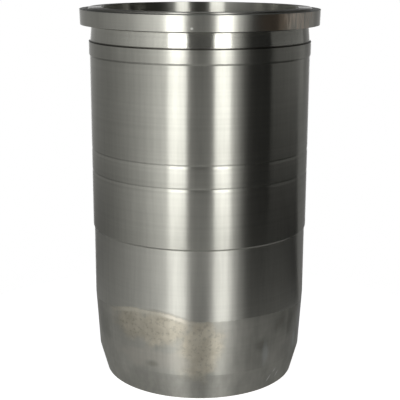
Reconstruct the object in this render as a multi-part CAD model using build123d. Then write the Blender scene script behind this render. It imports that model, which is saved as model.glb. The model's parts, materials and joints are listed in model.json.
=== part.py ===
"""Wet cylinder liner for a large diesel engine: one casting, turned outside and honed inside.

The liner hangs in the engine block from the collar at its top. It is drawn as half
of its lengthwise section, with each corner eased as it is turned, and then revolved.
Its foot stands on Z = 0 and its axis is Z. Millimetres.
"""
import os

from build123d import *

# Lengths along the axis, from the foot up.
LEAD_IN_LENGTH = 18.5  # steep chamfer that finds the seals in the block
TAPER_LENGTH = 37.7  # gentle taper above it, left as cast and dull
LAND_LENGTH = 48.0  # ground land that the lower seals grip
STEP_TO_MARK = 39.7  # plain body up to the lower of two turned marks
MARK_SPACING = 14.8
MARK_TO_PILOT = 62.1
PILOT_LENGTH = 9.5  # ground band that centres the liner in the block
NECK_LENGTH = 10.6  # relieved neck between the band and the collar's seat
COLLAR_THICKNESS = 9.8
LIP_HEIGHT = 1.3  # raised lip that the head gasket seals on

# Sizes across the axis.
BORE_DIAMETER = 126.0
BODY_WALL = 10.68
FOOT_WALL = 2.65
COLLAR_REACH = 6.32  # how far the collar stands out of the body
LIP_SETBACK = 6.1  # from the collar's rim in to the lip
NECK_DEPTH = 1.18  # how far the neck lies under the body's surface
PILOT_RISE = 0.52  # how far the band stands out of the body
LAND_DROP = 0.73  # how far the land lies under the body's surface
TAPER_DROP = 2.25  # how much the taper takes off the land's radius

# The scraper ring's recess at the mouth of the bore.
RECESS_DEPTH = 2.0  # measured outward from the bore's wall
RECESS_HEIGHT = 12.0

# Turned details.
MARK_DEPTH = 0.2
MARK_WIDTH = 2.4
MARK_LOW_POINT = 0.4  # share of the mark's width above its deepest point
STEP_BEVEL = 1.2  # length of the bevel from the body down to the land
PILOT_BEVEL = 1.2  # length of the bevel from the band down to the body
NECK_RADIUS = 1.2  # rounded corners at both ends of the neck
COLLAR_CHAMFER = 0.5
SEAT_CHAMFER = 0.25
EDGE_CHAMFER = 0.4
MOUTH_CHAMFER = 0.5
FOOT_BORE_CHAMFER = 0.8
FOOT_CHAMFER = 0.4

# Where each zone begins, counted up from the foot.
Z_TAPER = LEAD_IN_LENGTH
Z_LAND = Z_TAPER + TAPER_LENGTH
Z_STEP = Z_LAND + LAND_LENGTH
Z_LOWER_MARK = Z_STEP + STEP_TO_MARK
Z_UPPER_MARK = Z_LOWER_MARK + MARK_SPACING
Z_PILOT = Z_UPPER_MARK + MARK_TO_PILOT
Z_LEDGE = Z_PILOT + PILOT_LENGTH
Z_SEAT = Z_LEDGE + NECK_LENGTH
Z_COLLAR_TOP = Z_SEAT + COLLAR_THICKNESS
Z_TOP = Z_COLLAR_TOP + LIP_HEIGHT

# The radius of each zone.
R_BORE = BORE_DIAMETER / 2
R_RECESS = R_BORE + RECESS_DEPTH
R_BODY = R_BORE + BODY_WALL
R_COLLAR = R_BODY + COLLAR_REACH
R_LIP = R_COLLAR - LIP_SETBACK
R_NECK = R_BODY - NECK_DEPTH
R_PILOT = R_BODY + PILOT_RISE
R_LAND = R_BODY - LAND_DROP
R_TAPER_LOW = R_LAND - TAPER_DROP
R_FOOT = R_BORE + FOOT_WALL


def mark(z):
    """Three corners of a shallow turned mark whose middle is at height z, from the bottom up."""
    low = z - MARK_WIDTH / 2
    high = z + MARK_WIDTH / 2
    deepest = high - MARK_LOW_POINT * MARK_WIDTH
    return [(R_BODY, low), (R_BODY - MARK_DEPTH, deepest), (R_BODY, high)]


def section():
    """Half of the lengthwise section, with sharp corners: outside from the foot up, then inside down."""
    outside = [
        (R_FOOT, 0),
        (R_TAPER_LOW, Z_TAPER),
        (R_LAND, Z_LAND),
        (R_LAND, Z_STEP - STEP_BEVEL / 2),
        (R_BODY, Z_STEP + STEP_BEVEL / 2),
        *mark(Z_LOWER_MARK),
        *mark(Z_UPPER_MARK),
        (R_BODY, Z_PILOT - PILOT_BEVEL / 2),
        (R_PILOT, Z_PILOT + PILOT_BEVEL / 2),
        (R_PILOT, Z_LEDGE),
        (R_NECK, Z_LEDGE),
        (R_NECK, Z_SEAT),
        (R_COLLAR, Z_SEAT),
        (R_COLLAR, Z_COLLAR_TOP),
        (R_LIP, Z_COLLAR_TOP),
        (R_LIP, Z_TOP),
    ]
    inside = [
        (R_RECESS, Z_TOP),
        (R_RECESS, Z_TOP - RECESS_HEIGHT),
        (R_BORE, Z_TOP - RECESS_HEIGHT),
        (R_BORE, 0),
    ]
    return make_face(Polyline(*outside, *inside, close=True))


def corner(face, r, z):
    """The section's vertex at radius r and height z."""
    return face.vertices().sort_by_distance((r, z, 0))[0]


def eased(face):
    """The section with its corners rounded and chamfered as they are turned."""
    ledge = R_PILOT - R_NECK
    neck_radius = min(NECK_RADIUS, 0.75 * ledge, 0.4 * NECK_LENGTH)
    ledge_chamfer = min(EDGE_CHAMFER, 0.2 * ledge)
    lip_chamfer = min(EDGE_CHAMFER, 0.4 * LIP_HEIGHT)
    rounds = [
        (R_NECK, Z_LEDGE, neck_radius),
        (R_NECK, Z_SEAT, neck_radius),
    ]
    chamfers = [
        (R_PILOT, Z_LEDGE, ledge_chamfer),
        (R_COLLAR, Z_SEAT, SEAT_CHAMFER),
        (R_COLLAR, Z_COLLAR_TOP, COLLAR_CHAMFER),
        (R_LIP, Z_TOP, lip_chamfer),
        (R_RECESS, Z_TOP, MOUTH_CHAMFER),
        (R_BORE, Z_TOP - RECESS_HEIGHT, min(MOUTH_CHAMFER, 0.4 * RECESS_DEPTH)),
        (R_BORE, 0, min(FOOT_BORE_CHAMFER, 0.4 * FOOT_WALL)),
        (R_FOOT, 0, min(FOOT_CHAMFER, 0.4 * FOOT_WALL)),
    ]
    for r, z, radius in rounds:
        face = fillet(corner(face, r, z), radius)
    for r, z, length in chamfers:
        face = chamfer(corner(face, r, z), length)
    return face


def liner():
    """The whole liner: its section turned once round the axis."""
    body = revolve(Plane.XZ * eased(section()), Axis.Z)
    body.label = "cylinder_liner"
    return body


if __name__ == "__main__":
    os.makedirs("parts", exist_ok=True)
    part = liner()
    export_step(part, "parts/cylinder_liner.step")
    size = part.bounding_box().size
    print(f"liner {size.X:.2f} x {size.Y:.2f} x {size.Z:.2f} mm, wall at the foot {FOOT_WALL} mm")
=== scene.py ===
# %% [markdown]
# # A cylinder liner
#
# A wet liner is the replaceable wall of one cylinder in a large diesel engine: an iron
# tube, turned outside and honed inside, that hangs in the block from the collar at its
# top. It is one piece of metal, so this lesson is about one turned shape and about how
# differently its zones were finished: ground bands, a turned body, a honed bore and a
# dull taper at the foot with old oil dried on it.
#
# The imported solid's mesh is a little coarse for metal that shines, so a finer one is
# turned here from the same section and takes its place. The sizes that other parts depend
# on come from the record, and the rest are written down below.

# %% Load the frame
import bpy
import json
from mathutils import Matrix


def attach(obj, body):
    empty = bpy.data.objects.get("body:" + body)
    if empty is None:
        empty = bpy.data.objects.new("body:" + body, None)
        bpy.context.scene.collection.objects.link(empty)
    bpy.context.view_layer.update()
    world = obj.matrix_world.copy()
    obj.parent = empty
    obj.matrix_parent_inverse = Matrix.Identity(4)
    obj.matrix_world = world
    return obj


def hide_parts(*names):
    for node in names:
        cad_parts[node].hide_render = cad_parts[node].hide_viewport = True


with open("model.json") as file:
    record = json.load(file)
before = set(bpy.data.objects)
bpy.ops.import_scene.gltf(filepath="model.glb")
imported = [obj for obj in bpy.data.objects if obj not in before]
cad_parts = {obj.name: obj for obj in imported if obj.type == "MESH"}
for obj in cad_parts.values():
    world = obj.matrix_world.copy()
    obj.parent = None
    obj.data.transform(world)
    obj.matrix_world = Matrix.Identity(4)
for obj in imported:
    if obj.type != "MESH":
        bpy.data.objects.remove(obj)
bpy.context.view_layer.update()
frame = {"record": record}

# %% Sizes that the frame states
import json
import math

import bpy
import numpy as np
from mathutils import Matrix

MM = 0.001
mounts = {mount["name"]: mount for mount in frame["record"]["mounts"]}


def radius_of(name):
    """The radius that the record states for a round mount, in metres."""
    return mounts[name]["dims"]["r_mm"] * MM


def height_of(name):
    """The height of a mount's point, in metres."""
    return mounts[name]["pos_m"][2]


R_BORE = radius_of("bore")
R_RECESS = radius_of("ring_recess")
R_PILOT = radius_of("pilot_band")
R_LAND = radius_of("seal_land")
Z_SEAT = height_of("collar_seat")
Z_TOP = height_of("gasket_lip")
print(f"bore {2 * R_BORE / MM:.0f} mm, band {2 * R_PILOT / MM:.1f} mm, height {Z_TOP / MM:.0f} mm")

# %% [markdown]
# ## The section
#
# Everything that a lathe makes is one line, the section, turned round an axis. The
# section is a list of corners, each with its radius, its height and how much it is
# eased. A real edge is never perfectly sharp, and on bright metal the eased edge is what
# catches the light, so every corner becomes a small arc. A bevel modifier could do that
# too, but here each corner has its own size, and the arcs cost a few lines.

# %% The rest of the section's sizes
R_BODY = 73.68 * MM
R_NECK = 72.5 * MM
R_COLLAR = 80.0 * MM
R_LIP = 73.9 * MM
R_TAPER_LOW = 70.7 * MM
R_FOOT = 65.65 * MM

Z_TAPER = 18.5 * MM
Z_LAND = 56.2 * MM
Z_STEP = 104.2 * MM
Z_MARKS = (143.9 * MM, 158.7 * MM)
Z_PILOT = 220.8 * MM
Z_LEDGE = 230.3 * MM
Z_COLLAR_TOP = 251.0 * MM
Z_RECESS = 240.0 * MM

BEVEL = 1.2 * MM
MARK_ABOVE = 0.65 * MM  # how far a mark reaches above its middle
MARK_BELOW = 2.1 * MM
MARK_DEEPEST = 0.4 * MM  # how far below its middle it is deepest
MARK_DEPTH = 0.22 * MM


def turned_mark(z):
    """Corners of a shallow mark in the body: long lower flank, deepest point, short upper flank."""
    return [
        (R_BODY, z - MARK_BELOW, 4.0 * MM),
        (R_BODY - MARK_DEPTH, z - MARK_DEEPEST, 1.0 * MM),
        (R_BODY, z + MARK_ABOVE, 1.0 * MM),
    ]


# Each corner: radius, height and how much it is eased
corners = [
    (R_FOOT, 0.0, 0.5 * MM),
    (R_TAPER_LOW, Z_TAPER, 0.5 * MM),
    (R_LAND, Z_LAND, 3.0 * MM),
    (R_LAND, Z_STEP - BEVEL / 2, 0.3 * MM),
    (R_BODY, Z_STEP + BEVEL / 2, 0.3 * MM),
    *turned_mark(Z_MARKS[0]),
    *turned_mark(Z_MARKS[1]),
    (R_BODY, Z_PILOT - BEVEL / 2, 0.4 * MM),
    (R_PILOT, Z_PILOT + BEVEL / 2, 0.4 * MM),
    (R_PILOT, Z_LEDGE, 0.45 * MM),
    (R_NECK, Z_LEDGE, 1.2 * MM),
    (R_NECK, Z_SEAT, 1.2 * MM),
    (R_COLLAR, Z_SEAT, 0.3 * MM),
    (R_COLLAR, Z_COLLAR_TOP, 0.3 * MM),
    (R_LIP, Z_COLLAR_TOP, 0.3 * MM),
    (R_LIP, Z_TOP, 0.2 * MM),
    (R_RECESS, Z_TOP, 0.5 * MM),
    (R_RECESS, Z_RECESS, 0.3 * MM),
    (R_BORE, Z_RECESS, 0.5 * MM),
    (R_BORE, 0.0, 0.8 * MM),
]
print(len(corners), "corners in the section")

# %% Ease each corner into an arc
ARC_STEP = math.radians(12)
LONGEST_REACH = 0.45  # share of a side that one arc may take


def eased_corner(before, corner, after, ease):
    """Points of the arc with radius ease that touches both sides of a corner."""
    corner = np.array(corner)
    back = np.array(before) - corner
    ahead = np.array(after) - corner
    back_length = np.linalg.norm(back)
    ahead_length = np.linalg.norm(ahead)
    back = back / back_length
    ahead = ahead / ahead_length
    half = math.acos(float(np.clip(back @ ahead, -1, 1))) / 2
    reach = min(ease / math.tan(half), LONGEST_REACH * back_length, LONGEST_REACH * ahead_length)
    middle = back + ahead
    centre = corner + middle / np.linalg.norm(middle) * reach / math.cos(half)
    start = corner + back * reach - centre
    turn = math.pi - 2 * half
    side = np.sign(start[0] * ahead[1] - start[1] * ahead[0])
    steps = max(2, math.ceil(turn / ARC_STEP))
    points = []
    for step in range(steps + 1):
        angle = side * turn * step / steps
        cos = math.cos(angle)
        sin = math.sin(angle)
        points.append(centre + [start[0] * cos - start[1] * sin, start[0] * sin + start[1] * cos])
    return points


def eased_section(corners):
    """The closed section as points (radius, height), each corner eased."""
    places = [(r, z) for r, z, ease in corners]
    points = []
    for at, (r, z, ease) in enumerate(corners):
        points += eased_corner(places[at - 1], (r, z), places[(at + 1) % len(places)], ease)
    return points


section = eased_section(corners)
print(len(section), "points in the eased section")

# %% [markdown]
# ## Helpers for node trees
#
# Geometry and shader trees are built the same way: add a node, set its properties, and
# fill or link its inputs. One helper does all three, so that a tree reads as a list of
# steps.

# %% Add a node
def add_node(tree, kind, inputs=None, **settings):
    """Adds a node, sets its properties and fills or links its inputs."""
    node = tree.nodes.new(kind)
    for name, value in settings.items():
        setattr(node, name, value)
    for key, value in (inputs or {}).items():
        if isinstance(value, bpy.types.NodeSocket):
            tree.links.new(value, node.inputs[key])
        else:
            node.inputs[key].default_value = value
    return node


def calc(tree, operation, *values):
    """The result of one Math node."""
    return add_node(tree, "ShaderNodeMath", dict(enumerate(values)), operation=operation).outputs[0]


def remap(tree, value, from_low, from_high, to_low=0.0, to_high=1.0, smooth=False):
    """The result of one Map Range node, clamped."""
    inputs = {"Value": value, "From Min": from_low, "From Max": from_high,
              "To Min": to_low, "To Max": to_high}
    kind = "SMOOTHSTEP" if smooth else "LINEAR"
    return add_node(tree, "ShaderNodeMapRange", inputs, interpolation_type=kind).outputs["Result"]


# %% [markdown]
# ## Turning the section
#
# Spin in mesh code would do, but Geometry Nodes say the rule itself: a grid whose rows
# are the section's points and whose columns are angles, wrapped round the axis. The
# number of columns, the fold that stays crisp and the height at which each finish starts
# are inputs, so they can be changed without touching the tree. A finish covers
# everything above its height, and the next one up covers it again, so the list runs from
# the foot to the rim. The recess and the bore come last, by their radius.

# %% The tree that turns a section
WELD_DISTANCE = 0.002 * MM


def group_socket(tree, label, kind, in_out="INPUT", value=None):
    """One named socket of a node group."""
    socket = tree.interface.new_socket(label, in_out=in_out, socket_type=f"NodeSocket{kind}")
    if value is not None:
        socket.default_value = value
    return socket


def compare(tree, operation, first, second):
    """The result of comparing two numbers."""
    return add_node(tree, "FunctionNodeCompare", {0: first, 1: second},
                    data_type="FLOAT", operation=operation).outputs[0]


def with_finish(tree, mesh, where, finish):
    """The mesh with a finish on the faces where the condition holds."""
    return add_node(tree, "GeometryNodeSetMaterial",
                    {"Geometry": mesh, "Selection": where, "Material": finish}).outputs[0]


def turning_tree(zones, insides):
    """Wraps the points of the base mesh, an open line in the XZ plane, round the Z axis."""
    tree = bpy.data.node_groups.new("turn_section", "GeometryNodeTree")
    group_socket(tree, "Section", "Geometry")
    group_socket(tree, "Points", "Int")
    group_socket(tree, "Columns", "Int")
    group_socket(tree, "Crisp Fold", "Float")
    for zone in zones:
        group_socket(tree, f"{zone} Height", "Float")
        group_socket(tree, f"{zone} Finish", "Material")
    for inside in insides:
        group_socket(tree, f"{inside} Reach", "Float")
        group_socket(tree, f"{inside} Finish", "Material")
    group_socket(tree, "Mesh", "Geometry", "OUTPUT")
    given = tree.nodes.new("NodeGroupInput").outputs

    points = given["Points"]
    columns_and_seam = calc(tree, "ADD", given["Columns"], 1.0)
    grid = add_node(tree, "GeometryNodeMeshGrid", {"Vertices X": columns_and_seam, "Vertices Y": points})
    index = calc(tree, "ADD", tree.nodes.new("GeometryNodeInputIndex").outputs[0], 0.5)
    column = calc(tree, "FLOOR", calc(tree, "DIVIDE", index, points))
    row = calc(tree, "FLOOR", calc(tree, "SUBTRACT", index, calc(tree, "MULTIPLY", column, points)))
    angle = calc(tree, "DIVIDE", calc(tree, "MULTIPLY", column, math.tau), given["Columns"])
    place = tree.nodes.new("GeometryNodeInputPosition").outputs[0]
    picked = add_node(tree, "GeometryNodeSampleIndex",
                      {"Geometry": given["Section"], "Value": place, "Index": row},
                      data_type="FLOAT_VECTOR")
    turned_place = add_node(tree, "ShaderNodeVectorRotate",
                            {"Vector": picked.outputs[0], "Angle": angle}, rotation_type="Z_AXIS")
    wrapped = add_node(tree, "GeometryNodeSetPosition",
                       {"Geometry": grid.outputs["Mesh"], "Position": turned_place.outputs[0]})
    closed = add_node(tree, "GeometryNodeMergeByDistance",
                      {"Geometry": wrapped.outputs[0], "Distance": WELD_DISTANCE})
    smooth = add_node(tree, "GeometryNodeSetShadeSmooth", {"Geometry": closed.outputs[0]}, domain="FACE")
    fold = tree.nodes.new("GeometryNodeInputMeshEdgeAngle").outputs["Unsigned Angle"]
    gentle = compare(tree, "LESS_THAN", fold, given["Crisp Fold"])
    crisp = add_node(tree, "GeometryNodeSetShadeSmooth",
                     {"Geometry": smooth.outputs[0], "Shade Smooth": gentle}, domain="EDGE")
    mesh = add_node(tree, "GeometryNodeRealizeInstances", {0: crisp.outputs[0]}).outputs[0]

    parts = add_node(tree, "ShaderNodeSeparateXYZ", {0: place}).outputs
    for zone in zones:
        above = compare(tree, "GREATER_THAN", parts["Z"], given[f"{zone} Height"])
        mesh = with_finish(tree, mesh, above, given[f"{zone} Finish"])
    squares = calc(tree, "ADD", calc(tree, "MULTIPLY", parts["X"], parts["X"]),
                   calc(tree, "MULTIPLY", parts["Y"], parts["Y"]))
    radius = calc(tree, "SQRT", squares)
    for inside in insides:
        within = compare(tree, "LESS_THAN", radius, given[f"{inside} Reach"])
        mesh = with_finish(tree, mesh, within, given[f"{inside} Finish"])
    tree.links.new(mesh, tree.nodes.new("NodeGroupOutput").inputs[0])
    return tree


def set_input(modifier, name, value):
    """Sets a Geometry Nodes input by its socket's identifier."""
    for item in modifier.node_group.interface.items_tree:
        if item.item_type == "SOCKET" and item.in_out == "INPUT" and item.name == name:
            modifier[item.identifier] = value


# %% [markdown]
# ## Patterns that several finishes share
#
# Each pattern is a shader node group with named inputs. It puts out masks and heights
# only, and every finish decides what they do to its own colour, gloss and relief. All
# patterns read Object coordinates, so nothing slides when the liner is moved and there
# is no seam at the back.

# %% Group: where a point lies on a turned part
def shader_group(name, inputs, outputs):
    """An empty shader node group. Each input is a name with its kind and its value."""
    tree = bpy.data.node_groups.new(name, "ShaderNodeTree")
    for label, (kind, value) in inputs.items():
        group_socket(tree, label, kind, value=value)
    for label, kind in outputs.items():
        group_socket(tree, label, kind, "OUTPUT")
    return tree, tree.nodes.new("NodeGroupInput").outputs, tree.nodes.new("NodeGroupOutput").inputs


def direction(tree, parts):
    """The direction of a point round the Z axis in radians: 0 at the front, + to the right."""
    return calc(tree, "ARCTAN2", parts["X"], calc(tree, "MULTIPLY", parts["Y"], -1.0))


def where_group():
    """Direction in degrees from the front, + to the right, and height and radius in millimetres."""
    tree, given, result = shader_group(
        "where_on_turned_part", {"Vector": ("Vector", None)},
        {"Around": "Float", "Height": "Float", "Radius": "Float"})
    parts = add_node(tree, "ShaderNodeSeparateXYZ", {0: given["Vector"]}).outputs
    flat = add_node(tree, "ShaderNodeVectorMath", {0: given["Vector"], 1: (1, 1, 0)},
                    operation="MULTIPLY").outputs[0]
    radius = add_node(tree, "ShaderNodeVectorMath", {0: flat}, operation="LENGTH").outputs["Value"]
    tree.links.new(calc(tree, "DEGREES", direction(tree, parts)), result["Around"])
    tree.links.new(calc(tree, "DIVIDE", parts["Z"], MM), result["Height"])
    tree.links.new(calc(tree, "DIVIDE", radius, MM), result["Radius"])
    return tree


where_on_part = where_group()
print("group", where_on_part.name)

# %% Group: rings that a tool leaves
RING_SPREAD = 0.5  # metres over which one ring keeps its brightness
RING_DETAIL = 4.0
RING_SEED = 11.0


def rings_group():
    """Fine rings for relief and broad ones for colour. Along is a height, or a radius on a flat face."""
    tree, given, result = shader_group(
        "tool_rings",
        {"Vector": ("Vector", None), "Along": ("Float", 0.0),
         "Fine Pitch": ("Float", 1.0), "Broad Pitch": ("Float", 2.5)},
        {"Relief": "Float", "Streaks": "Float"})
    step = calc(tree, "DIVIDE", given["Along"], given["Fine Pitch"])
    fine = add_node(tree, "ShaderNodeTexNoise", {"W": step, "Scale": 1.0, "Detail": 0.0},
                    noise_dimensions="1D").outputs["Fac"]
    parts = add_node(tree, "ShaderNodeSeparateXYZ", {0: given["Vector"]}).outputs
    x = calc(tree, "DIVIDE", parts["X"], RING_SPREAD)
    y = calc(tree, "DIVIDE", parts["Y"], RING_SPREAD)
    z = calc(tree, "ADD", calc(tree, "DIVIDE", given["Along"], given["Broad Pitch"]), RING_SEED)
    squeezed = add_node(tree, "ShaderNodeCombineXYZ", {0: x, 1: y, 2: z}).outputs[0]
    broad = add_node(tree, "ShaderNodeTexNoise",
                     {"Vector": squeezed, "Scale": 1.0, "Detail": RING_DETAIL}).outputs["Fac"]
    tree.links.new(fine, result["Relief"])
    tree.links.new(remap(tree, broad, 0.3, 0.7), result["Streaks"])
    return tree


tool_rings = rings_group()
print("group", tool_rings.name)

# %% Group: soft clouds, for smudges and film
def clouds_group():
    """Soft irregular patches between 0 and 1. Size is in metres, and Stretch draws them out upwards."""
    tree, given, result = shader_group(
        "clouds",
        {"Vector": ("Vector", None), "Size": ("Float", 0.03), "Stretch": ("Float", 1.0),
         "Detail": ("Float", 3.0), "From": ("Float", 0.4), "To": ("Float", 0.6), "Seed": ("Float", 0.0)},
        {"Mask": "Float"})
    parts = add_node(tree, "ShaderNodeSeparateXYZ", {0: given["Vector"]}).outputs
    x = calc(tree, "DIVIDE", parts["X"], given["Size"])
    y = calc(tree, "DIVIDE", parts["Y"], given["Size"])
    z = calc(tree, "DIVIDE", calc(tree, "DIVIDE", parts["Z"], given["Size"]), given["Stretch"])
    at = add_node(tree, "ShaderNodeCombineXYZ", {0: x, 1: y, 2: z}).outputs[0]
    inputs = {"Vector": at, "W": given["Seed"], "Scale": 1.0, "Detail": given["Detail"], "Roughness": 0.55}
    noise = add_node(tree, "ShaderNodeTexNoise", inputs, noise_dimensions="4D").outputs["Fac"]
    tree.links.new(remap(tree, noise, given["From"], given["To"], smooth=True), result["Mask"])
    return tree


clouds = clouds_group()
print("group", clouds.name)

# %% Group: one soft spot at a known place
SKIN_RADIUS = 72.0  # millimetres, about the liner's own


def spot_group():
    """A soft ellipse at a direction and a height. Sizes are in millimetres. Wobble frays its edge."""
    tree, given, result = shader_group(
        "spot",
        {"Around": ("Float", 0.0), "Height": ("Float", 0.0), "Middle Around": ("Float", 0.0),
         "Middle Height": ("Float", 0.0), "Half Width": ("Float", 5.0), "Half Height": ("Float", 5.0),
         "Tilt": ("Float", 0.0), "Softness": ("Float", 0.3), "Wobble": ("Float", 0.0)},
        {"Mask": "Float"})
    turn = calc(tree, "RADIANS", calc(tree, "SUBTRACT", given["Around"], given["Middle Around"]))
    across = calc(tree, "MULTIPLY", turn, SKIN_RADIUS)
    up = calc(tree, "SUBTRACT", given["Height"], given["Middle Height"])
    flat = add_node(tree, "ShaderNodeCombineXYZ", {0: across, 1: up}).outputs[0]
    tilted = add_node(tree, "ShaderNodeVectorRotate", {"Vector": flat, "Angle": given["Tilt"]},
                      rotation_type="Z_AXIS")
    halves = add_node(tree, "ShaderNodeCombineXYZ",
                      {0: given["Half Width"], 1: given["Half Height"], 2: 1.0})
    shares = add_node(tree, "ShaderNodeVectorMath", {0: tilted.outputs[0], 1: halves.outputs[0]},
                      operation="DIVIDE")
    away = add_node(tree, "ShaderNodeVectorMath", {0: shares.outputs[0]},
                    operation="LENGTH").outputs["Value"]
    frayed = calc(tree, "ADD", away, given["Wobble"])
    low = calc(tree, "SUBTRACT", 1.0, given["Softness"])
    high = calc(tree, "ADD", 1.0, given["Softness"])
    outside = remap(tree, frayed, low, high, smooth=True)
    tree.links.new(calc(tree, "SUBTRACT", 1.0, outside), result["Mask"])
    return tree


spot = spot_group()
print("group", spot.name)

# %% [markdown]
# ## Metal
#
# Turned iron shines in streaks. The tool leaves fine rings round the axis, and each ring
# is a tiny ridge, so light spreads far up and down but hardly sideways. That is what the
# shader's anisotropy does, once its tangent runs round the axis. A new finish starts with
# that, and with the coordinates that every pattern reads, and then links its own colour,
# gloss and relief.

# %% Start of a finish
QUARTER_TURN = 0.25  # lays the highlight across the rings instead of along them


class Finish:
    """A metal material with its shader, its tree and the coordinates that the patterns read."""

    def __init__(self, name, anisotropy):
        self.material = bpy.data.materials.new(name)
        self.material.use_nodes = True
        self.tree = self.material.node_tree
        self.shader = self.tree.nodes["Principled BSDF"]
        self.shader.inputs["Metallic"].default_value = 1.0
        self.shader.inputs["Anisotropic"].default_value = anisotropy
        self.shader.inputs["Anisotropic Rotation"].default_value = QUARTER_TURN
        tangent = self.add("ShaderNodeTangent", direction_type="RADIAL", axis="Z").outputs[0]
        self.tree.links.new(tangent, self.shader.inputs["Tangent"])
        self.place = self.add("ShaderNodeTexCoord").outputs["Object"]
        where = self.pattern(where_on_part)
        self.around = where["Around"]
        self.height = where["Height"]
        self.radius = where["Radius"]

    def add(self, kind, inputs=None, **settings):
        return add_node(self.tree, kind, inputs, **settings)

    def calc(self, operation, *values):
        return calc(self.tree, operation, *values)

    def remap(self, value, from_low, from_high, to_low=0.0, to_high=1.0, smooth=False):
        return remap(self.tree, value, from_low, from_high, to_low, to_high, smooth)

    def chain(self, operation, values):
        """One Math node after another over all the values."""
        result = values[0]
        for value in values[1:]:
            result = self.calc(operation, result, value)
        return result

    def product(self, *values):
        return self.chain("MULTIPLY", values)

    def total(self, *values):
        return self.chain("ADD", values)

    def greatest(self, *values):
        return self.chain("MAXIMUM", values)

    def between(self, mask, low, high):
        """A value that goes from low to high with a mask."""
        return self.remap(mask, 0, 1, low, high)

    def vary(self, mask, share):
        """A factor that goes from a share below 1 to the same share above it with a mask."""
        return self.between(mask, 1 - share, 1 + share)

    def pattern(self, group, **inputs):
        """Outputs of a shared pattern on this material's coordinates, with underscores for spaces."""
        node = self.add("ShaderNodeGroup", node_tree=group)
        known = {"Vector": self.place}
        if "Around" in node.inputs:
            known = {"Around": self.around, "Height": self.height}
        known.update({name.replace("_", " "): value for name, value in inputs.items()})
        for name, value in known.items():
            if isinstance(value, bpy.types.NodeSocket):
                self.tree.links.new(value, node.inputs[name])
            else:
                node.inputs[name].default_value = value
        return node.outputs

    def clouds(self, size, low, high, seed, stretch=1.0, detail=3.0):
        """Soft patches of a size in millimetres."""
        return self.pattern(clouds, Size=size * MM, From=low, To=high, Seed=seed,
                            Stretch=stretch, Detail=detail)["Mask"]

    def spot(self, around, height, half_width, half_height, softness=0.3, tilt=0.0, wobble=0.0):
        """A soft spot at a direction in degrees and a height in millimetres."""
        return self.pattern(spot, Middle_Around=around, Middle_Height=height, Half_Width=half_width,
                            Half_Height=half_height, Softness=softness, Tilt=math.radians(tilt),
                            Wobble=wobble)["Mask"]

    def spots(self, places, wobble):
        """The greatest of several soft spots, all frayed alike."""
        return self.greatest(*[self.spot(*place, wobble=wobble) for place in places])

    def mix(self, mask, below, above, strength=1.0):
        """Colour: below where the mask is 0, and above, as strongly as asked, where it is 1."""
        if strength != 1.0:
            mask = self.product(mask, strength)
        node = self.add("ShaderNodeMix", data_type="RGBA")
        for socket, value in ((node.inputs[0], mask), (node.inputs[6], below), (node.inputs[7], above)):
            if isinstance(value, bpy.types.NodeSocket):
                self.tree.links.new(value, socket)
            else:
                socket.default_value = (*value, 1)
        return node.outputs[2]

    def shade(self, colour, factor):
        """Colour times a factor."""
        inputs = {0: colour, "Scale": factor}
        return self.add("ShaderNodeVectorMath", inputs, operation="SCALE").outputs[0]

    def band(self, low, high, soft):
        """A mask by height: 1 between two heights in millimetres, fading over soft."""
        over_low = self.remap(self.height, low - soft, low + soft, smooth=True)
        under_high = self.remap(self.height, high - soft, high + soft, 1.0, 0.0, smooth=True)
        return self.product(over_low, under_high)

    def link(self, **sockets):
        """Links values to the shader's sockets. Names have underscores for spaces."""
        for name, value in sockets.items():
            self.tree.links.new(value, self.shader.inputs[name.replace("_", " ")])

    def relief(self, height, depth):
        """Bump from a height between 0 and 1, whose whole depth is given in millimetres."""
        bump = self.add("ShaderNodeBump", {"Height": height, "Distance": depth * MM, "Strength": 1.0})
        self.link(Normal=bump.outputs[0])


IRON = (0.50, 0.497, 0.445)
# Colour of the painted shade in the neck's corners and along the band's upper edge
CORNER_SHADE = (0.05, 0.045, 0.035)
LEDGE = Z_LEDGE / MM
SEAT = Z_SEAT / MM

# %% [markdown]
# ## The turned body and the neck
#
# Plain turned iron. The rings differ a little in brightness, faint clouds lie over them
# where hands and oil have been, and the two corners of the neck are darkened with painted
# shade. The roughness varies only a little round its middle and keeps away from 0.27: the
# render's denoiser treats glossier and duller metal differently, and a surface that wanders
# from one side of that value to the other gets lines that aren't there.

# %% Turned body and neck
# Painted shade in the neck's corners, over the ledge and under the collar: a low and a high height, how
# soft it is and how dark
NECK_CORNER_SHADE = [(LEDGE - 0.8, LEDGE + 0.5, 0.3, 0.6), (SEAT - 0.9, SEAT + 1.1, 0.4, 0.45)]
LIP_IRON = (0.42, 0.417, 0.38)


def turned_finish(name, colour, roughness, streak=0.045, corner_shade=()):
    """Turned iron. Each corner shade is a band of painted shade: a low and a high height, how soft it is
    and how dark.
    """
    finish = Finish(name, anisotropy=1.0)
    rings = finish.pattern(tool_rings, Along=finish.height, Fine_Pitch=1.3, Broad_Pitch=2.5)
    cloudy = finish.clouds(38, 0.35, 0.65, 2.0, stretch=1.6)
    wiped = finish.clouds(2.2, 0.3, 0.7, 12.0, stretch=16.0)
    light = finish.product(finish.vary(rings["Streaks"], streak), finish.vary(cloudy, 0.03),
                           finish.vary(wiped, 0.04))
    tone = finish.shade(colour, light)
    rough = finish.between(rings["Streaks"], roughness * 1.03, roughness * 0.97)
    # Each band of painted shade darkens the colour and dulls the gloss
    for low, high, soft, dark in corner_shade:
        mask = finish.product(finish.band(low, high, soft), dark)
        tone = finish.mix(mask, tone, CORNER_SHADE)
        rough = finish.total(rough, finish.product(mask, 0.25))
    finish.link(Base_Color=tone, Roughness=rough)
    finish.relief(rings["Relief"], depth=0.005)
    return finish.material


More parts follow.
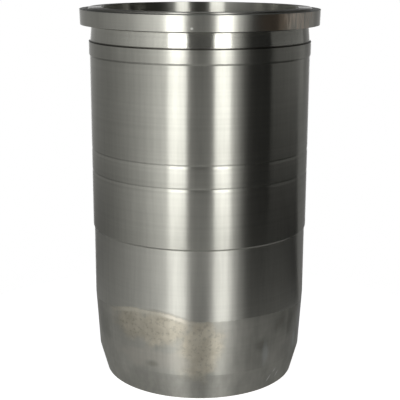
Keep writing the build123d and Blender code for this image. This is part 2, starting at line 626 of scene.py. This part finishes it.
turned_body = turned_finish("turned_body", IRON, 0.297)
turned_neck = turned_finish("turned_neck", IRON, 0.23, corner_shade=NECK_CORNER_SHADE)
turned_recess = turned_finish("turned_recess", IRON, 0.297, streak=0.04)
turned_lip = turned_finish("turned_lip", LIP_IRON, 0.34)
print(turned_body.name, turned_neck.name, turned_recess.name, turned_lip.name)

# %% [markdown]
# ## Ground surfaces
#
# The collar and the pilot band fit bores in the block, so they are ground. A grinding
# wheel leaves finer and closer marks than a lathe, and the highlight is a little broader.
# The collar was handled most: its right side is brown and striped where it was wiped,
# and one pale fleck sits near its lower edge. Painted shade darkens the band's upper edge.

# %% Ground collar and band
# Each place: direction, height, half width, half height, softness
STRIPED_SMUDGE = (53, 246, 16, 9, 0.25)
EVEN_SMUDGE = (35, 246, 11, 9, 0.5)
FLECK = (-3.5, 242.9, 0.7, 0.6, 0.5)
COLLAR_IRON = (0.545, 0.542, 0.487)
SMUDGE_TAN = (0.54, 0.445, 0.345)
SMUDGE_BROWN = (0.44, 0.375, 0.31)
FLECK_WHITE = (0.85, 0.84, 0.8)
SMUDGED_METALLIC = 0.3


def ground_finish(name, colour, roughness, smudges=0.0, shaded_upper_edge=0.0):
    """Ground iron. Smudges and the painted shade along the upper edge are given by how strong they are."""
    finish = Finish(name, anisotropy=0.95)
    rings = finish.pattern(tool_rings, Along=finish.height, Fine_Pitch=1.0, Broad_Pitch=1.6)
    cloudy = finish.clouds(30, 0.35, 0.65, 5.0, stretch=1.4)
    wiped = finish.clouds(2.2, 0.3, 0.7, 15.0, stretch=12.0)
    light = finish.product(finish.vary(rings["Streaks"], 0.04), finish.vary(cloudy, 0.03),
                           finish.vary(wiped, 0.04))
    tone = finish.shade(colour, light)
    rough = finish.between(cloudy, roughness * 1.03, roughness * 0.97)
    if smudges:
        stripes = finish.clouds(1.8, 0.38, 0.62, 8.0, stretch=8.0)
        striped = finish.product(finish.spot(*STRIPED_SMUDGE), finish.between(stripes, 0.1, 1.0),
                                 smudges)
        even = finish.spot(*EVEN_SMUDGE)
        fleck = finish.spot(*FLECK)
        tone = finish.mix(even, tone, SMUDGE_TAN)
        tone = finish.mix(striped, tone, SMUDGE_BROWN)
        tone = finish.mix(fleck, tone, FLECK_WHITE, strength=0.7)
        covered = finish.greatest(striped, fleck, finish.product(even, 0.04))
        finish.link(Metallic=finish.between(covered, 1.0, SMUDGED_METALLIC))
    # Painted shade in the corner under the ledge, which also dulls the gloss
    if shaded_upper_edge:
        upper_edge = finish.remap(finish.height, LEDGE - 0.8, LEDGE - 0.4, smooth=True)
        edge_shade = finish.product(upper_edge, shaded_upper_edge)
        tone = finish.mix(edge_shade, tone, CORNER_SHADE)
        rough = finish.total(rough, finish.product(edge_shade, 0.2))
    finish.link(Base_Color=tone, Roughness=rough)
    finish.relief(rings["Relief"], depth=0.006)
    return finish.material


ground_collar = ground_finish("ground_collar", COLLAR_IRON, 0.32, smudges=0.95)
ground_band = ground_finish("ground_band", IRON, 0.34, shaded_upper_edge=0.85)
print(ground_collar.name, ground_band.name)

# %% [markdown]
# ## The faces at the top
#
# The collar's top and the lip are faced: the tool went in towards the axis, so the rings
# lie beside each other along the radius. Oil and dust stay on the collar's flat, which
# nothing wipes, while the lip above it is clean.

# %% Faced top
FLAT = Z_COLLAR_TOP / MM
OILY_DARK = (0.24, 0.245, 0.22)
OILY_PALE = (0.34, 0.35, 0.32)
CLEAN_FACE = (0.43, 0.42, 0.39)


def faced_finish():
    """Iron faced at the top, with rings along the radius and a film below the lip."""
    finish = Finish("faced_top", anisotropy=0.7)
    rings = finish.pattern(tool_rings, Along=finish.radius, Fine_Pitch=0.6, Broad_Pitch=1.5)
    cloudy = finish.clouds(9, 0.35, 0.65, 9.0)
    clean = finish.remap(finish.height, FLAT + 0.3, FLAT + 0.5)
    oily = finish.mix(cloudy, OILY_DARK, OILY_PALE)
    tone = finish.mix(clean, oily, CLEAN_FACE)
    finish.link(Base_Color=finish.shade(tone, finish.vary(rings["Streaks"], 0.08)),
                Roughness=finish.between(cloudy, 0.48, 0.4))
    finish.relief(rings["Relief"], depth=0.01)
    return finish.material


faced_top = faced_finish()
print(faced_top.name)

# %% [markdown]
# ## The honed bore
#
# Honing stones turn and slide at the same time, so their scratches cross at an angle and
# hold oil. Two helices are drawn by turning the coordinates with the height, one each
# way, before a noise reads them, which leaves no seam.

# %% Honed bore
HELIX = 34.0  # radians that a scratch turns over one metre of height
SCRATCHES_PER_METRE = (1400, 1400, 25)
HONED_IRON = (0.36, 0.355, 0.32)


def honed_finish():
    """Honed iron, with two sets of scratches that cross."""
    finish = Finish("honed_bore", anisotropy=0.5)
    parts = finish.add("ShaderNodeSeparateXYZ", {0: finish.place}).outputs
    layers = []
    for way in (-1, 1):
        turn = finish.product(parts["Z"], way * HELIX)
        wound = finish.add("ShaderNodeVectorRotate", {"Vector": finish.place, "Angle": turn},
                           rotation_type="Z_AXIS")
        squeezed = finish.add("ShaderNodeVectorMath", {0: wound.outputs[0], 1: SCRATCHES_PER_METRE},
                              operation="MULTIPLY")
        noise = finish.add("ShaderNodeTexNoise",
                           {"Vector": squeezed.outputs[0], "Scale": 1.0, "Detail": 2.0})
        layers.append(noise.outputs["Fac"])
    hatch = finish.calc("MINIMUM", *layers)
    cloudy = finish.clouds(25, 0.35, 0.65, 4.0)
    light = finish.product(finish.remap(hatch, 0.35, 0.55, 0.9, 1.1), finish.between(cloudy, 0.9, 1.05))
    finish.link(Base_Color=finish.shade(HONED_IRON, light),
                Roughness=finish.remap(hatch, 0.35, 0.55, 0.36, 0.28))
    finish.relief(hatch, depth=0.02)
    return finish.material


honed_bore = honed_finish()
print(honed_bore.name)

# %% [markdown]
# ## The land and the dull foot
#
# The land under the step is ground for the lower seals. The taper and the lead-in below
# it were never ground, and a film of oil and storage dirt has dried on them: yellow-brown
# and mottled at the front, grey and streaky at the sides, with one wiped patch where
# clean metal shows. The film climbs a little onto the land at the front left, so its edge
# isn't the edge of the land, and one finish covers both. The film is no metal, so the
# shader's metallic value falls where it lies. The large stains have places of their own,
# and clouds break them up and carry the film on round the back.

# %% Places on the foot
# Each stain: direction, height, half width, half height, softness
BROWN = [(-37, 52, 16, 11, 0.5), (-20, 50, 22, 12.5, 0.35), (0, 38, 14, 20, 0.4)]
DEEPER_BROWN = (-40, 48, 20, 9, 0.6)
WIPED = [(-27, 28, 28, 6.5, 0.35)]
DARK = [
    (50, 48, 6, 7, 0.7), (58, 44, 4, 9, 0.7), (35, 35, 5, 4, 0.8), (-64, 40, 7, 10, 0.8),
    (-26, 24, 4, 2, 0.8),
]
PALE = [(38, 28, 2.5, 7, 0.6), (76, 42, 7, 22, 0.6), (66, 29, 2.5, 7, 0.6)]
BARE_LEAD_IN = (-7, 9, 38, 30, 0.4)
CLIMB = (-28, 58, 22, 40, 0.7)
EDGE_LINE = (-15, 58, 14, 20, 0.6)
PALE_RIM = (-26, 58, 27, 40, 0.5)
CHAFED_RIM = (-12, 58, 8, 20, 0.5)
# Each scratch: the same, and its tilt in degrees
SCRATCHES = [
    (43.7, 7.3, 0.5, 2.6, 0.6, 35), (50.7, 8.4, 0.45, 2.2, 0.6, 30), (47.5, 12.5, 0.35, 1.6, 0.6, 40),
]
FILM_EDGE = 56.4  # height of the film's edge in millimetres
FILM_CLIMB = 5.4  # how much higher it lies at the front left
FILM_FALL = 3.2  # how much lower it lies at the sides and the back
FALL_RIGHT = (32, 68)  # from which direction to which it falls
FALL_LEFT = (-48, -95)
LEAD_IN_EDGE = Z_TAPER / MM
print(len(BROWN + WIPED + DARK + PALE), "stains and", len(SCRATCHES), "scratches")

# %% Colours of the land and the foot
LAND_IRON = (0.59, 0.586, 0.53)
LINE_BROWN = (0.2, 0.16, 0.11)
FILM_GREY = (0.44, 0.435, 0.39)
STAIN_PALE = (0.61, 0.57, 0.465)
STAIN_DEEP = (0.50, 0.46, 0.365)
WIPED_METAL = (0.49, 0.475, 0.42)
DARK_DIRT = (0.16, 0.16, 0.13)
PALE_DUST = (0.56, 0.59, 0.58)
RIM_DUST = (0.66, 0.63, 0.53)
CHAFED_DUST = (0.82, 0.77, 0.68)
SCRATCHED_METAL = (0.85, 0.85, 0.83)
print("iron of the land", LAND_IRON, "and grey of the film", FILM_GREY)


# %% The film's edge and its colour
def film_masks(finish):
    """Masks of the film, of the brown line over its edge and of the pale rim under it."""
    climb = finish.product(finish.spot(*CLIMB), FILM_CLIMB)
    fall = finish.greatest(finish.remap(finish.around, *FALL_RIGHT, 0.0, FILM_FALL, smooth=True),
                           finish.remap(finish.around, *FALL_LEFT, 0.0, FILM_FALL, smooth=True))
    ragged = finish.between(finish.clouds(2.5, 0.3, 0.7, 21.0, stretch=0.6), -0.3, 0.3)
    edge = finish.calc("SUBTRACT", finish.total(climb, FILM_EDGE, ragged), fall)
    above = finish.calc("SUBTRACT", finish.height, edge)
    film = finish.remap(above, -0.35, 0.35, 1.0, 0.0, smooth=True)
    line = finish.product(finish.remap(above, -0.2, 0.3), finish.remap(above, 0.4, 1.5, 1.0, 0.0),
                          finish.spot(*EDGE_LINE))
    rim = finish.product(finish.remap(above, -3.4, -2.2), finish.remap(above, -0.9, -0.2, 1.0, 0.0),
                         finish.spot(*PALE_RIM))
    return film, line, rim


def film_colour(finish, brown, mottle, blotches, rim, lead_in, wobble):
    """Colour of the film, from its grey ground to the small marks on top."""
    crackle = finish.clouds(2.4, 0.40, 0.47, 30.0, detail=5.0)
    stained = finish.mix(mottle, STAIN_PALE, STAIN_DEEP)
    stained = finish.shade(stained, finish.between(crackle, 0.82, 1.02))
    stained = finish.shade(stained, finish.between(finish.spot(*DEEPER_BROWN), 1.0, 0.85))
    tone = finish.shade(FILM_GREY, finish.between(blotches, 0.88, 1.08))
    tone = finish.mix(brown, tone, stained, strength=0.9)
    tone = finish.mix(finish.spots(WIPED, wobble), tone, WIPED_METAL, strength=0.9)
    tone = finish.mix(finish.spots(DARK, wobble), tone, DARK_DIRT, strength=0.45)
    tone = finish.mix(finish.spots(PALE, wobble), tone, PALE_DUST, strength=0.5)
    tone = finish.mix(rim, tone, RIM_DUST, strength=0.75)
    chafed = finish.product(rim, finish.spot(*CHAFED_RIM))
    tone = finish.mix(chafed, tone, CHAFED_DUST, strength=0.5)
    bare = finish.product(lead_in, finish.spot(*BARE_LEAD_IN))
    tone = finish.shade(tone, finish.between(bare, 1.0, 0.87))
    for place in SCRATCHES:
        tone = finish.mix(finish.spot(*place), tone, SCRATCHED_METAL, strength=0.85)
    return tone


# %% Finish of the land and the foot
def lower_finish():
    """Ground iron above, and a dried film with stains below."""
    finish = Finish("ground_land_and_dull_foot", anisotropy=0.97)
    rings = finish.pattern(tool_rings, Along=finish.height, Fine_Pitch=1.0, Broad_Pitch=2.5)
    wiped_down = finish.clouds(2.2, 0.3, 0.7, 18.0, stretch=14.0)
    grain = finish.product(finish.vary(rings["Streaks"], 0.03), finish.vary(wiped_down, 0.04))
    wobble = finish.between(finish.clouds(9, 0.25, 0.75, 6.0, detail=4.0), -0.3, 0.3)
    film, line, rim = film_masks(finish)
    behind = finish.remap(finish.calc("ABSOLUTE", finish.around), 80, 100)
    upper = finish.remap(finish.height, 16, 26)
    elsewhere = finish.product(finish.clouds(30, 0.5, 0.6, 14.0), upper, behind)
    brown = finish.greatest(finish.spots(BROWN, wobble), elsewhere)
    mottle = finish.clouds(7, 0.3, 0.7, 1.0, detail=6.0)
    blotches = finish.clouds(11, 0.3, 0.7, 3.0, stretch=1.8, detail=4.0)
    lead_in = finish.remap(finish.height, LEAD_IN_EDGE - 0.4, LEAD_IN_EDGE + 0.2, 1.0, 0.0)
    tone = film_colour(finish, brown, mottle, blotches, rim, lead_in, wobble)
    land = finish.mix(line, LAND_IRON, LINE_BROWN, strength=0.3)
    dirty = finish.total(finish.product(brown, 0.08), finish.product(lead_in, 0.08), 0.2)
    dull = finish.product(film, finish.between(blotches, 0.09, 0.03))
    finish.link(Base_Color=finish.shade(finish.mix(film, land, tone), grain),
                Metallic=finish.calc("SUBTRACT", 1.0, finish.product(film, dirty)),
                Roughness=finish.total(0.35, dull, finish.product(lead_in, 0.08)))
    crust = finish.product(mottle, brown, 0.5)
    finish.relief(finish.total(finish.product(rings["Relief"], 0.3), crust), depth=0.02)
    return finish.material


lower_part = lower_finish()
print(lower_part.name)

# %% Turn the liner
COLUMNS = 288
CRISP_FOLD = math.radians(24)
# Each zone outside: the height above which its finish counts, and the finish
ZONES = {
    "Foot": (-1.0 * MM, lower_part),
    "Body": (Z_STEP - BEVEL, turned_body),
    "Band": (Z_PILOT - BEVEL / 2, ground_band),
    "Neck": (Z_LEDGE - 0.01 * MM, turned_neck),
    "Collar": (Z_SEAT + 0.05 * MM, ground_collar),
    "Flat": (Z_COLLAR_TOP - 0.25 * MM, faced_top),
    "Lip": (Z_COLLAR_TOP + 0.2 * MM, turned_lip),
    "Rim": (Z_TOP - 0.1 * MM, faced_top),
}
# Each zone inside: the radius within which its finish counts, and the finish
INSIDES = {
    "Recess": (R_RECESS + 0.3 * MM, turned_recess),
    "Bore": (R_BORE + 0.6 * MM, honed_bore),
}


def turned(name, section, zones, insides):
    """A plain mesh object: the section turned once round the Z axis, with a finish for each zone."""
    line = section + section[:1]
    mesh = bpy.data.meshes.new(name)
    mesh.from_pydata([(r, 0.0, z) for r, z in line], [(k, k + 1) for k in range(len(line) - 1)], [])
    obj = bpy.data.objects.new(name, mesh)
    bpy.context.scene.collection.objects.link(obj)
    modifier = obj.modifiers.new("turn", "NODES")
    modifier.node_group = turning_tree(zones, insides)
    set_input(modifier, "Points", len(line))
    set_input(modifier, "Columns", COLUMNS)
    set_input(modifier, "Crisp Fold", CRISP_FOLD)
    for zone, (height, finish) in zones.items():
        set_input(modifier, f"{zone} Height", height)
        set_input(modifier, f"{zone} Finish", finish)
    for inside, (reach, finish) in insides.items():
        set_input(modifier, f"{inside} Reach", reach)
        set_input(modifier, f"{inside} Finish", finish)
    seen = obj.evaluated_get(bpy.context.evaluated_depsgraph_get())
    plain = bpy.data.meshes.new_from_object(seen)
    obj.modifiers.clear()
    obj.data = plain
    bpy.data.meshes.remove(mesh)
    plain.materials.pop(index=0)  # the grid node leaves an empty first slot
    plain.name = name
    return obj


def signed_volume(mesh):
    """Volume inside a closed mesh, negative if its faces point inwards."""
    mesh.calc_loop_triangles()
    places = np.array([v.co for v in mesh.vertices])
    three = places[np.array([t.vertices for t in mesh.loop_triangles])]
    return float(np.einsum("ij,ij->i", three[:, 0], np.cross(three[:, 1], three[:, 2])).sum() / 6)


liner = turned("liner", section, ZONES, INSIDES)
if signed_volume(liner.data) < 0:
    liner.data.flip_normals()
print(f"liner: {len(liner.data.polygons)} faces, {signed_volume(liner.data) * 1e6:.1f} cm3,",
      [m.name for m in liner.data.materials])
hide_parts("cylinder_liner")
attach(liner, "root")

# %% [markdown]
# ## The camera
#
# The photograph was taken a little above the liner's top with a long lens.

# %% Camera
IMAGE_SIZE = 400
FOCAL_PIXELS = 994.0
SENSOR = 36.0
CAMERA_DISTANCE = 673.4 * MM
CAMERA_HEIGHT = 285.0 * MM
CAMERA_PITCH = math.radians(13.83)
CAMERA_ROLL = math.radians(0.175)
CENTRE_PIXEL = 199.49

camera_data = bpy.data.cameras.new("camera")
camera_data.sensor_width = SENSOR
camera_data.lens = SENSOR * FOCAL_PIXELS / IMAGE_SIZE
camera_data.shift_x = (IMAGE_SIZE / 2 - CENTRE_PIXEL) / IMAGE_SIZE
camera = bpy.data.objects.new("camera", camera_data)
camera.matrix_world = (
    Matrix.Translation((0, -CAMERA_DISTANCE, CAMERA_HEIGHT))
    @ Matrix.Rotation(math.pi / 2 - CAMERA_PITCH, 4, "X")
    @ Matrix.Rotation(CAMERA_ROLL, 4, "Z")
)
bpy.context.scene.collection.objects.link(camera)
bpy.context.scene.camera = camera
print(f"lens {camera_data.lens:.1f} mm")

# %% [markdown]
# ## The studio
#
# Bright metal has hardly any colour of its own: it shows the room. So the room is built
# as a photographer builds it round a shiny object. Two soft boxes stand left and right of
# the camera and make the two bright streaks. Between and beside them a tent of grey cloth
# keeps the metal from going flat, darker on the right than on the left. A dark flag and a
# dark curtain take light away at the right and behind, and a few reflectors lighten the edges
# and the back. Dim sheets on the table are painted shade: they stand for the table in the
# liner's shade, as the metal reflects it. The camera sees none of that: for it everything
# is white, apart from the liner's shadow on the table.

# %% Helpers for the studio
STRIP_STEP = 3  # degrees


def glow(name, strength):
    """A plain glowing material, for the cards and boxes of the studio."""
    material = bpy.data.materials.new(name)
    material.use_nodes = True
    tree = material.node_tree
    tree.nodes.clear()
    shine = add_node(tree, "ShaderNodeEmission", {"Strength": strength})
    add_node(tree, "ShaderNodeOutputMaterial", {"Surface": shine.outputs[0]})
    return material


def stage_mesh(name, points, faces, material):
    """A piece of the studio."""
    mesh = bpy.data.meshes.new(name)
    mesh.from_pydata(points, [], faces)
    mesh.materials.append(material)
    obj = bpy.data.objects.new(name, mesh)
    bpy.context.scene.collection.objects.link(obj)
    return obj


def strip(name, left, right, edges, material):
    """A strip between two directions, in degrees from the camera's side, and two edges.

    Each edge is a distance from the axis and a height.
    """
    steps = max(2, round((right - left) / STRIP_STEP))
    angles = np.linspace(math.radians(left), math.radians(right), steps + 1)
    points = [(reach * math.sin(a), -reach * math.cos(a), z) for reach, z in edges for a in angles]
    faces = [(k, k + 1, k + steps + 2, k + steps + 1) for k in range(steps)]
    return stage_mesh(name, points, faces, material)


def sheet(name, left, right, near, far, height, material):
    """A level sheet between two distances."""
    return strip(name, left, right, [(near, height), (far, height)], material)


def card(name, left, right, low, high, distance, material):
    """A curved card between two heights."""
    return strip(name, left, right, [(distance, low), (distance, high)], material)


# %% White for camera, glossy and transmission rays
TABLE_RADIUS = 0.22
TABLE_GLOW = 0.85
ROOM_LIGHT = 0.55


def background_rays(tree):
    """1 for the rays that show the background, by themselves or in metal and glass."""
    rays = add_node(tree, "ShaderNodeLightPath").outputs
    seen = calc(tree, "MAXIMUM", rays["Is Camera Ray"], rays["Is Glossy Ray"])
    return calc(tree, "MAXIMUM", seen, rays["Is Transmission Ray"])


table_material = bpy.data.materials.new("table")
table_material.use_nodes = True
table_tree = table_material.node_tree
table_shader = table_tree.nodes["Principled BSDF"]
table_shader.inputs["Base Color"].default_value = (0.8, 0.8, 0.8, 1)
table_shader.inputs["Roughness"].default_value = 0.8
table_shader.inputs["Emission Color"].default_value = (1, 1, 1, 1)
raised = calc(table_tree, "MULTIPLY", background_rays(table_tree), TABLE_GLOW)
table_tree.links.new(raised, table_shader.inputs["Emission Strength"])
sheet("table", -180, 180, 0.0, TABLE_RADIUS, 0.0, table_material)

world = bpy.data.worlds.new("room")
bpy.context.scene.world = world
world.use_nodes = True
background = world.node_tree.nodes["Background"]
background.inputs["Color"].default_value = (1, 1, 1, 1)
room_light = remap(world.node_tree, background_rays(world.node_tree), 0, 1, ROOM_LIGHT, 1.0)
world.node_tree.links.new(room_light, background.inputs["Strength"])

# %% The tent
TENT_RADIUS = 1.5
TENT_LOW = -1.2
TENT_HIGH = 1.5
BRIGHTEST = 2.0  # what white in the colour ramp stands for
# How bright the cloth is in each direction, in degrees from the camera's side
CLOTH = [
    (-180, 0.3), (-160, 0.28), (-136, 0.22), (-112, 0.24), (-94, 0.31), (-78, 0.45), (-62, 0.66),
    (-50, 0.92), (-43, 1.15), (-31, 1.4), (-27, 0.7), (-13, 0.12), (0, 0.08), (14, 0.12),
    (27, 0.6), (31, 1.4), (34, 0.95), (41, 0.36), (46, 0.14), (50, 0.06), (55, 0.03),
    (82, 0.02), (92, 0.03), (125, 0.05), (145, 0.16), (180, 0.3),
]


def cloth_glow():
    """A glow that differs with the direction, brightest a little above the table."""
    material = glow("tent_cloth", BRIGHTEST)
    tree = material.node_tree
    place = add_node(tree, "ShaderNodeTexCoord").outputs["Object"]
    parts = add_node(tree, "ShaderNodeSeparateXYZ", {0: place}).outputs
    turn = direction(tree, parts)
    ramp = add_node(tree, "ShaderNodeValToRGB", {"Fac": remap(tree, turn, -math.pi, math.pi)})
    marks = ramp.color_ramp.elements
    marks.remove(marks[1])
    for at, (degrees, level) in enumerate(CLOTH):
        mark = marks[0] if at == 0 else marks.new((degrees + 180) / 360)
        mark.color = (level / BRIGHTEST, level / BRIGHTEST, level / BRIGHTEST, 1)
    tree.links.new(ramp.outputs["Color"], tree.nodes["Emission"].inputs["Color"])
    rise = remap(tree, parts["Z"], -0.4, 0.1, 0.4 * BRIGHTEST, 1.45 * BRIGHTEST, smooth=True)
    fade = remap(tree, parts["Z"], 0.25, 0.8, 1.0, 0.2, smooth=True)
    tree.links.new(calc(tree, "MULTIPLY", rise, fade), tree.nodes["Emission"].inputs["Strength"])
    return material


# Each card: left and right edge in degrees, lower and upper edge and distance in metres, strength
CARDS = {
    "soft_box_left": (-31, -13, 0.0, 1.1, 1.3, 4.8),
    "soft_box_right": (14.6, 30.5, 0.0, 1.1, 1.3, 4.8),
    "dark_flag": (50, 124, -1.1, 0.03, 1.4, 0.04),
    "low_reflector_side": (124, 160, -1.1, 0.0, 1.4, 0.19),
    "near_reflector": (70, 124, 0.18, 0.235, 0.34, 0.44),
    "white_sheet": (160, 200, -1.1, 0.37, 1.4, 1.0),
    "dark_curtain": (100, 260, 0.45, 1.45, 1.45, 0.08),
    "low_reflector_front": (-13, 14, -1.1, -0.25, 1.4, 0.52),
}
studio = [
    card("tent", -180, 180, TENT_LOW, TENT_HIGH, TENT_RADIUS, cloth_glow()),
    sheet("ceiling", -180, 180, 0.0, TENT_RADIUS, TENT_HIGH, glow("ceiling", 0.04)),
    sheet("top_light", -180, 180, 0.0, 0.85, TENT_HIGH - MM, glow("top_light", 0.4)),
    sheet("ground", -180, 180, 0.0, TENT_RADIUS, TENT_LOW, glow("ground", 0.02)),
]
for name, (left, right, low, high, distance, strength) in CARDS.items():
    studio.append(card(name, left, right, low, high, distance, glow(name, strength)))

# %% Painted shade on the table
# Painted shade: sheets that only the metal sees, dimmer than the white table where it lies in the liner's
# shade, darkest on the right and inside the bore
table_shade_sheets = [
    sheet("shaded_table_near", -180, 180, R_FOOT, TABLE_RADIUS + MM, 0.4 * MM, glow("shaded_table_near", 0.27)),
    sheet("shaded_table_right", 42, 124, 0.175, 0.6, 0.6 * MM, glow("shaded_table_right", 0.015)),
    sheet("shaded_table_in_bore", -180, 180, 0.0, R_BORE, 0.4 * MM, glow("shaded_table_in_bore", 0.03)),
]
for piece in table_shade_sheets:
    piece.visible_diffuse = False
    piece.visible_shadow = False
for piece in studio + table_shade_sheets:
    piece.visible_camera = False
print(len(studio + table_shade_sheets), "pieces of the studio that the camera doesn't see")

# %% [markdown]
# ## Finishing
#
# The view transform stays plain so that colours render as they are written.

# %% Finish
bpy.context.scene.view_settings.view_transform = "Standard"
